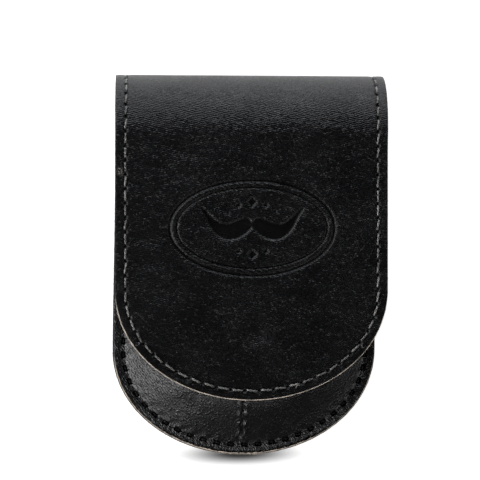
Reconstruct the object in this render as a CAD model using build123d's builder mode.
"""Leather pouch with a fold-over flap, magnetic snap and centre tack seam, holding a beard brush.

Millimetres. The pouch lies on its back: +Z points out of the front (flap) side, +Y towards the
fold, +X to the right as seen from the front. The origin is the middle of the back face.
One strip of leather makes the back, the fold and the flap. The fold is a hinge of leather, so the
strip is cut into three stiff pieces: the pouch back, the spine and the flap.
"""

from math import atan2, cos, degrees, pi, radians, sin
import os

from build123d import *

# ---- driving dimensions -------------------------------------------------------------------
WIDTH = 76.0             # across the pouch and the flap
LENGTH = 109.0           # from the rounded bottom to the crown of the fold
THICKNESS = 28.0         # back face to the outside of the flap, snapped shut
END_RISE = 30.0          # height of the half-ellipse that rounds each lower end
LEATHER = 1.2
LINING = 0.6
FLAP_LENGTH = 91.5       # crown of the fold to the flap's tip
MOUTH_Y = 35.0           # where the front panel ends under the flap
LOWER_FOLD_R = 10.0      # outside radius of the fold's back half
UPPER_FOLD_R = THICKNESS - LOWER_FOLD_R

# Bulge of the front panel: a half-ellipse tunnel that ends in a quarter ellipsoid.
BULGE_HALF = 33.5
BULGE_END = 25.5
BULGE_HEIGHT = 20.2

# Stitching: waxed thread lying in a shallow groove.
SEAM_INSET = 3.0
STITCH_PITCH = 4.0
STITCH_LENGTH = 3.2
THREAD = 0.7
THREAD_HEIGHT = 0.35
GROOVE = 1.0

# Magnetic snap.
SNAP_Y = -18.4
SNAP_R = 7.0
SNAP_HOLE_R = 2.7
SNAP_PIN_R = 2.2
SNAP_PIN = 1.8
CUP_HEIGHT = 2.7
CUP_WALL = 0.5
PLATE_HEIGHT = 1.1
WASHER_R = 5.5
WASHER = 0.5
PRONG_X = 3.2            # centre distance of each prong from the snap's axis
PRONG_WIDTH = 2.0
PRONG_THICK = 0.5

# Beard brush.
BRUSH_Y = 0.5            # centre of the brush along the pouch
BRUSH_HALF_X = 23.5
BRUSH_HALF_Y = 41.0
WOOD_BASE_Z = 10.5       # face that the bristles stand out of
WOOD_EDGE = 1.8
WOOD_DOME = 6.2
BRISTLE_TIP_Z = 2.4
HOLE_DEPTH = 3.0
HOLE_CLEARANCE = 0.05
ANCHOR_THICK = 0.4       # flat wire that pins each folded tuft in its hole
ANCHOR_HEIGHT = 0.8
TUFT_R = 1.2
TUFT_PITCH = 4.5
ROW_PITCH = 5.0
ROWS = 7

# ---- worked out ---------------------------------------------------------------------------
HALF = WIDTH / 2
BOTTOM_Y = -LENGTH / 2
CROWN_Y = LENGTH / 2
TIP_Y = CROWN_Y - FLAP_LENGTH
BACK_END_Y = BOTTOM_Y + END_RISE       # where the body's straight sides start
FLAP_END_Y = TIP_Y + END_RISE
LOWER_CENTRE = (CROWN_Y - LOWER_FOLD_R, LOWER_FOLD_R)
UPPER_CENTRE = (CROWN_Y - UPPER_FOLD_R, LOWER_FOLD_R)
SEAT_Z = LEATHER + LINING              # inside face of the lined back
FLANGE_Z = SEAT_Z + LEATHER            # top of the front panel's sewn edge
FLAP_LINING_Z = THICKNESS - LEATHER - LINING
FLAP_INSIDE_Z = THICKNESS - LEATHER
PANEL_TOP_Z = SEAT_Z + BULGE_HEIGHT
CUP_Z = PANEL_TOP_Z + 0.05
PLATE_Z = FLAP_LINING_Z - 0.05 - PLATE_HEIGHT

os.makedirs("parts", exist_ok=True)


def write(part, name):
    """Labels a finished piece and writes it as its own STEP."""
    part.label = name
    export_step(part, f"parts/{name}.step")


def plan(inset, centre_y, top_y):
    """Plan outline: straight sides from top_y down to centre_y, then half an ellipse."""
    half = HALF - inset
    with BuildSketch() as outline:
        with BuildLine():
            Line((half, centre_y), (half, top_y))
            Line((half, top_y), (-half, top_y))
            Line((-half, top_y), (-half, centre_y))
            EllipticalCenterArc((0, centre_y), half, END_RISE - inset, 180, arc_size=180)
        make_face()
    return outline.sketch


def groove_plan(centre_y, top_y):
    """Band for the stitching groove, open at the top."""
    with BuildSketch() as band:
        add(plan(SEAM_INSET - GROOVE / 2, centre_y, top_y))
        add(plan(SEAM_INSET + GROOVE / 2, centre_y, top_y + 1), mode=Mode.SUBTRACT)
    return band.sketch


def curl(centre, outer, thickness, start, sweep):
    """Slice of the bent sheet in the Y-Z plane, by its outer radius and thickness."""
    with BuildSketch(Plane.YZ) as piece:
        with BuildLine():
            rim = CenterArc(centre, outer, start, sweep)
            bore = CenterArc(centre, outer - thickness, start, sweep)
            Line(rim @ 0, bore @ 0)
            Line(rim @ 1, bore @ 1)
        make_face()
    return piece.sketch


def seam_line(centre_y, top_y):
    """Line of the stitching: down one side, round the end and up the other side."""
    half = HALF - SEAM_INSET
    with BuildLine() as line:
        Line((half, top_y), (half, centre_y))
        EllipticalCenterArc((0, centre_y), half, END_RISE - SEAM_INSET, 0, arc_size=-180)
        Line((-half, centre_y), (-half, top_y))
    return line.wire()


def seam_seats(centre_y, top_y, z):
    """One seat per stitch, evenly spaced along the seam line at height z."""
    line = seam_line(centre_y, top_y)
    count = round(line.length / STITCH_PITCH)
    seats = []
    for step in range(count + 1):
        point, along = line @ (step / count), line % (step / count)
        seats.append(Location((point.X, point.Y, z), (0, 0, degrees(atan2(along.Y, along.X)))))
    return seats


def stitch_plan():
    """Outline of one stitch, lying along X."""
    with BuildSketch() as stitch:
        SlotOverall(STITCH_LENGTH, THREAD)
    return stitch.sketch


def bulge(inset, mouth_y):
    """Solid that fills the front panel's bulge, drawn inset from the panel's outside."""
    half, rise, height = BULGE_HALF - inset, BULGE_END - inset, BULGE_HEIGHT - inset
    with BuildPart() as tube:
        with BuildSketch():
            with BuildLine():
                Line((0, mouth_y), (half, mouth_y))
                Line((half, mouth_y), (half, BACK_END_Y))
                EllipticalCenterArc((0, BACK_END_Y), half, rise, 0, arc_size=-90)
                Line((0, BACK_END_Y - rise), (0, mouth_y))
            make_face()
        revolve(axis=Axis((0, 0, 0), (0, -1, 0)), revolution_arc=180)
        scale(by=(1, 1, height / half))
    return Pos(0, 0, SEAT_Z) * tube.part


def cut_prong_slots(z, depth):
    """Cuts the two slots that the snap's prongs pass through."""
    with Locations((-PRONG_X, SNAP_Y, z), (PRONG_X, SNAP_Y, z)):
        Box(PRONG_THICK + 0.2, PRONG_WIDTH + 0.2, depth, mode=Mode.SUBTRACT)


def add_prongs(low, high):
    """Adds the two flat prongs between two heights."""
    middle = (low + high) / 2
    with Locations((-PRONG_X, SNAP_Y, middle), (PRONG_X, SNAP_Y, middle)):
        Box(PRONG_THICK, PRONG_WIDTH, high - low)


# Angles round the fold, from 0 at the crown: negative on the back half, positive on the front.
SPLIT = 45
FRONT_STITCH_STEP = 14.5
BACK_STITCH_STEP = 23.0
SPINE_FRONT_STITCHES = [SPLIT - 6.8 - FRONT_STITCH_STEP * k for k in range(3)]
FLAP_CURL_STITCHES = [SPLIT + 6.8 + FRONT_STITCH_STEP * k for k in range(3)]
SPINE_BACK_STITCHES = [-SPLIT + 11.5 + BACK_STITCH_STEP * k for k in range(2)]
POUCH_CURL_STITCHES = [-SPLIT - 11.5 - BACK_STITCH_STEP * k for k in range(2)]
BACK_STITCH_TOP = LOWER_CENTRE[0] - 2.2
FLAP_STITCH_TOP = UPPER_CENTRE[0] - 1.6

SEAM_SIDES = [(-(HALF - SEAM_INSET), 0, 0), (HALF - SEAM_INSET, 0, 0)]


def cut_fold_groove(centre, outer, start, sweep):
    """Cuts the stitching groove on both sides of a fold."""
    profile = curl(centre, outer, THREAD_HEIGHT, start, sweep)
    with Locations(*SEAM_SIDES):
        add(extrude(profile, GROOVE / 2, both=True, mode=Mode.PRIVATE), mode=Mode.SUBTRACT)


def add_fold_stitches(centre, outer, angles):
    """Adds the stitches that follow a fold, on both sides, one pair per angle."""
    sweep = degrees(STITCH_LENGTH / outer)
    for angle in angles:
        profile = curl(centre, outer, THREAD_HEIGHT, angle - sweep / 2, sweep)
        with Locations(*SEAM_SIDES):
            add(extrude(profile, THREAD / 2, both=True, mode=Mode.PRIVATE))


# ---- pouch: back --------------------------------------------------------------------------
with BuildPart() as back_panel:
    extrude(plan(0, BACK_END_Y, LOWER_CENTRE[0]), amount=LEATHER)
    extrude(curl(LOWER_CENTRE, LOWER_FOLD_R, LEATHER, -90, SPLIT), amount=HALF, both=True)
    extrude(groove_plan(BACK_END_Y, LOWER_CENTRE[0]), amount=THREAD_HEIGHT, mode=Mode.SUBTRACT)
    cut_fold_groove(LOWER_CENTRE, LOWER_FOLD_R, -90, SPLIT)
write(back_panel.part, "back_panel")

with BuildPart() as back_lining:
    extrude(Pos(0, 0, LEATHER) * plan(0, BACK_END_Y, LOWER_CENTRE[0]), amount=LINING)
    extrude(
        curl(LOWER_CENTRE, LOWER_FOLD_R - LEATHER, LINING, -90, SPLIT), amount=HALF, both=True
    )
write(back_lining.part, "back_lining")

# ---- pouch: front panel and its lining ----------------------------------------------------
with BuildPart() as front_panel:
    extrude(Pos(0, 0, SEAT_Z) * plan(0, BACK_END_Y, MOUTH_Y), amount=LEATHER)
    add(bulge(0, MOUTH_Y))
    add(bulge(LEATHER, MOUTH_Y + 1), mode=Mode.SUBTRACT)
    extrude(
        Pos(0, 0, FLANGE_Z - THREAD_HEIGHT) * groove_plan(BACK_END_Y, MOUTH_Y + 1),
        amount=THREAD_HEIGHT,
        mode=Mode.SUBTRACT,
    )
    with Locations((0, SNAP_Y, PANEL_TOP_Z - LEATHER)):
        Cylinder(WASHER_R + 0.1, 2 * (WASHER + 0.1), mode=Mode.SUBTRACT)
    cut_prong_slots(PANEL_TOP_Z, 2 * LEATHER)
write(front_panel.part, "front_panel")

with BuildPart() as front_lining:
    add(bulge(LEATHER, MOUTH_Y))
    add(bulge(LEATHER + LINING, MOUTH_Y + 1), mode=Mode.SUBTRACT)
write(front_lining.part, "front_lining")

# ---- pouch: thread ------------------------------------------------------------------------
with BuildPart() as front_seam_stitches:
    with Locations(*seam_seats(BACK_END_Y, MOUTH_Y - 2, FLANGE_Z - THREAD_HEIGHT)):
        add(extrude(stitch_plan(), amount=THREAD_HEIGHT, mode=Mode.PRIVATE))
write(front_seam_stitches.part, "front_seam_stitches")

with BuildPart() as back_seam_stitches:
    with Locations(*seam_seats(BACK_END_Y, BACK_STITCH_TOP, 0)):
        add(extrude(stitch_plan(), amount=THREAD_HEIGHT, mode=Mode.PRIVATE))
    add_fold_stitches(LOWER_CENTRE, LOWER_FOLD_R, POUCH_CURL_STITCHES)
write(back_seam_stitches.part, "back_seam_stitches")

# Row of stitches across the mouth, following the half-ellipse of the bulge.
MOUTH_STITCHES = 20
with BuildPart() as mouth_stitches:
    for step in range(1, MOUTH_STITCHES):
        turn = pi * step / MOUTH_STITCHES
        x, z = BULGE_HALF * cos(turn), BULGE_HEIGHT * sin(turn)
        lean = degrees(atan2(BULGE_HEIGHT * cos(turn), -BULGE_HALF * sin(turn)))
        with Locations(Location((x, MOUTH_Y - SEAM_INSET, SEAT_Z + z), (0, -lean, 0))):
            Box(STITCH_LENGTH, THREAD, 2 * THREAD_HEIGHT)
    add(bulge(0, MOUTH_Y), mode=Mode.SUBTRACT)
write(mouth_stitches.part, "mouth_stitches")

# Short tack seam up the middle of the bulge, from the bottom seam to the flap's tip.
TACK_TURNS = [14, 26, 38, 50]
with BuildPart() as tack_stitches:
    for angle in TACK_TURNS:
        turn = radians(angle)
        y = BACK_END_Y - BULGE_END * cos(turn)
        z = SEAT_Z + BULGE_HEIGHT * sin(turn)
        lean = degrees(atan2(BULGE_HEIGHT * cos(turn), BULGE_END * sin(turn)))
        with Locations(Location((0, y, z), (lean, 0, 0))):
            Box(THREAD, STITCH_LENGTH, 2 * THREAD_HEIGHT)
    add(bulge(0, MOUTH_Y), mode=Mode.SUBTRACT)
write(tack_stitches.part, "tack_stitches")

# ---- pouch: lower half of the magnetic snap -----------------------------------------------
with BuildPart() as snap_cup:
    with BuildSketch(Plane.XY.offset(CUP_Z)):
        with Locations((0, SNAP_Y)):
            Circle(SNAP_R)
    extrude(amount=CUP_HEIGHT)
    fillet(snap_cup.edges().filter_by(GeomType.CIRCLE).sort_by(Axis.Z)[-1], 0.6)
    with BuildSketch(Plane.XY.offset(CUP_Z + CUP_WALL)):
        with Locations((0, SNAP_Y)):
            Circle(SNAP_R - CUP_WALL)
    extrude(amount=CUP_HEIGHT - 2 * CUP_WALL, mode=Mode.SUBTRACT)
    with BuildSketch(Plane.XY.offset(CUP_Z + CUP_HEIGHT)):
        with Locations((0, SNAP_Y)):
            Circle(SNAP_HOLE_R)
    extrude(amount=-(CUP_HEIGHT - CUP_WALL), mode=Mode.SUBTRACT)
    add_prongs(PANEL_TOP_Z - LEATHER, CUP_Z)
write(snap_cup.part, "snap_cup")

with BuildPart() as snap_magnet:
    with BuildSketch(Plane.XY.offset(CUP_Z + CUP_WALL)):
        with Locations((0, SNAP_Y)):
            Circle(SNAP_R - CUP_WALL - 0.1)
            Circle(SNAP_HOLE_R, mode=Mode.SUBTRACT)
    extrude(amount=CUP_HEIGHT - 2 * CUP_WALL)
write(snap_magnet.part, "snap_magnet")

with BuildPart() as snap_front_washer:
    with BuildSketch(Plane.XY.offset(PANEL_TOP_Z - LEATHER + 0.05)):
        with Locations((0, SNAP_Y)):
            Circle(WASHER_R)
    extrude(amount=WASHER)
    cut_prong_slots(PANEL_TOP_Z - LEATHER, 2 * LEATHER)
write(snap_front_washer.part, "snap_front_washer")

# ---- spine: the moving middle of the fold -------------------------------------------------
with BuildPart() as spine_panel:
    extrude(curl(LOWER_CENTRE, LOWER_FOLD_R, LEATHER, -SPLIT, SPLIT), amount=HALF, both=True)
    extrude(curl(UPPER_CENTRE, UPPER_FOLD_R, LEATHER, 0, SPLIT), amount=HALF, both=True)
    cut_fold_groove(LOWER_CENTRE, LOWER_FOLD_R, -SPLIT, SPLIT)
    cut_fold_groove(UPPER_CENTRE, UPPER_FOLD_R, 0, SPLIT)
write(spine_panel.part, "spine_panel")

with BuildPart() as spine_lining:
    extrude(
        curl(LOWER_CENTRE, LOWER_FOLD_R - LEATHER, LINING, -SPLIT, SPLIT), amount=HALF, both=True
    )
    extrude(curl(UPPER_CENTRE, UPPER_FOLD_R - LEATHER, LINING, 0, SPLIT), amount=HALF, both=True)
write(spine_lining.part, "spine_lining")

with BuildPart() as spine_stitches:
    add_fold_stitches(LOWER_CENTRE, LOWER_FOLD_R, SPINE_BACK_STITCHES)
    add_fold_stitches(UPPER_CENTRE, UPPER_FOLD_R, SPINE_FRONT_STITCHES)
write(spine_stitches.part, "spine_stitches")

# ---- flap ---------------------------------------------------------------------------------
with BuildPart() as flap_panel:
    extrude(Pos(0, 0, FLAP_INSIDE_Z) * plan(0, FLAP_END_Y, UPPER_CENTRE[0]), amount=LEATHER)
    extrude(curl(UPPER_CENTRE, UPPER_FOLD_R, LEATHER, SPLIT, 90 - SPLIT), amount=HALF, both=True)
    extrude(
        Pos(0, 0, THICKNESS - THREAD_HEIGHT) * groove_plan(FLAP_END_Y, UPPER_CENTRE[0]),
        amount=THREAD_HEIGHT,
        mode=Mode.SUBTRACT,
    )
    cut_fold_groove(UPPER_CENTRE, UPPER_FOLD_R, SPLIT, 90 - SPLIT)
    with Locations((0, SNAP_Y, FLAP_INSIDE_Z)):
        Cylinder(WASHER_R + 0.1, 2 * (WASHER + 0.1), mode=Mode.SUBTRACT)
write(flap_panel.part, "flap_panel")

with BuildPart() as flap_lining:
    extrude(Pos(0, 0, FLAP_LINING_Z) * plan(0, FLAP_END_Y, UPPER_CENTRE[0]), amount=LINING)
    extrude(
        curl(UPPER_CENTRE, UPPER_FOLD_R - LEATHER, LINING, SPLIT, 90 - SPLIT),
        amount=HALF,
        both=True,
    )
    cut_prong_slots(FLAP_LINING_Z, 2 * LEATHER)
write(flap_lining.part, "flap_lining")

with BuildPart() as flap_stitches:
    with Locations(*seam_seats(FLAP_END_Y, FLAP_STITCH_TOP, THICKNESS - THREAD_HEIGHT)):
        add(extrude(stitch_plan(), amount=THREAD_HEIGHT, mode=Mode.PRIVATE))
    add_fold_stitches(UPPER_CENTRE, UPPER_FOLD_R, FLAP_CURL_STITCHES)
write(flap_stitches.part, "flap_stitches")

# Upper half of the snap: a plate with a pin that enters the magnet's hole.
with BuildPart() as snap_plate:
    with BuildSketch(Plane.XY.offset(PLATE_Z)):
        with Locations((0, SNAP_Y)):
            Circle(SNAP_R)
    extrude(amount=PLATE_HEIGHT)
    fillet(snap_plate.edges().filter_by(GeomType.CIRCLE).sort_by(Axis.Z)[0], 0.4)
    with BuildSketch(Plane.XY.offset(PLATE_Z)):
        with Locations((0, SNAP_Y)):
            Circle(SNAP_PIN_R)
    extrude(amount=-SNAP_PIN)
    chamfer(snap_plate.edges().filter_by(GeomType.CIRCLE).sort_by(Axis.Z)[0], 0.4)
    add_prongs(PLATE_Z + PLATE_HEIGHT, FLAP_INSIDE_Z + WASHER)
write(snap_plate.part, "snap_plate")

with BuildPart() as snap_flap_washer:
    with BuildSketch(Plane.XY.offset(FLAP_INSIDE_Z + 0.05)):
        with Locations((0, SNAP_Y)):
            Circle(WASHER_R)
    extrude(amount=WASHER)
    cut_prong_slots(FLAP_INSIDE_Z, 2 * LEATHER)
write(snap_flap_washer.part, "snap_flap_washer")

# ---- beard brush --------------------------------------------------------------------------
# Tufts stand on rows along Y, wherever they keep this far inside the edge of the wood.
TUFT_MARGIN = 3.6


def row_tufts(x):
    """Y of each tuft on the row at x, measured from the brush's centre."""
    reach = (BRUSH_HALF_Y - TUFT_MARGIN) * (1 - (x / (BRUSH_HALF_X - TUFT_MARGIN)) ** 2) ** 0.5
    steps = int(reach / TUFT_PITCH)
    return [TUFT_PITCH * step for step in range(-steps, steps + 1)]


def wood_blank():
    """Domed oval block: a straight edge with a quarter-ellipse dome, turned and then stretched."""
    with BuildPart() as blank:
        with BuildSketch(Plane.XZ):
            with BuildLine():
                Line((0, 0), (1, 0))
                Line((1, 0), (1, WOOD_EDGE))
                EllipticalCenterArc((0, WOOD_EDGE), 1, WOOD_DOME, 0, arc_size=90)
                Line((0, WOOD_EDGE + WOOD_DOME), (0, 0))
            make_face()
        revolve(axis=Axis.Z)
        scale(by=(BRUSH_HALF_X, BRUSH_HALF_Y, 1))
    return Pos(0, BRUSH_Y, WOOD_BASE_Z) * blank.part


ROW_X = [ROW_PITCH * (row - (ROWS - 1) / 2) for row in range(ROWS)]
TUFT_SEATS = [(x, BRUSH_Y + y) for x in ROW_X for y in row_tufts(x)]

with BuildPart() as brush_block:
    add(wood_blank())
    with BuildSketch(Plane.XY.offset(WOOD_BASE_Z)):
        with Locations(*TUFT_SEATS):
            Circle(TUFT_R + HOLE_CLEARANCE)
    extrude(amount=HOLE_DEPTH, mode=Mode.SUBTRACT)
write(brush_block.part, "brush_block")

with BuildPart() as tuft_anchors:
    with BuildSketch(Plane.XY.offset(WOOD_BASE_Z + HOLE_DEPTH - ANCHOR_HEIGHT)):
        with Locations(*TUFT_SEATS):
            Rectangle(ANCHOR_THICK, 2 * TUFT_R)
    extrude(amount=ANCHOR_HEIGHT)
write(tuft_anchors.part, "tuft_anchors")

for number, x in enumerate(ROW_X, start=1):
    with BuildPart() as bristle_row:
        with BuildSketch(Plane.XY.offset(BRISTLE_TIP_Z)):
            with Locations(*[(x, BRUSH_Y + y) for y in row_tufts(x)]):
                Circle(TUFT_R)
        extrude(amount=WOOD_BASE_Z + HOLE_DEPTH - ANCHOR_HEIGHT - BRISTLE_TIP_Z)
    write(bristle_row.part, f"bristle_row_{number}")
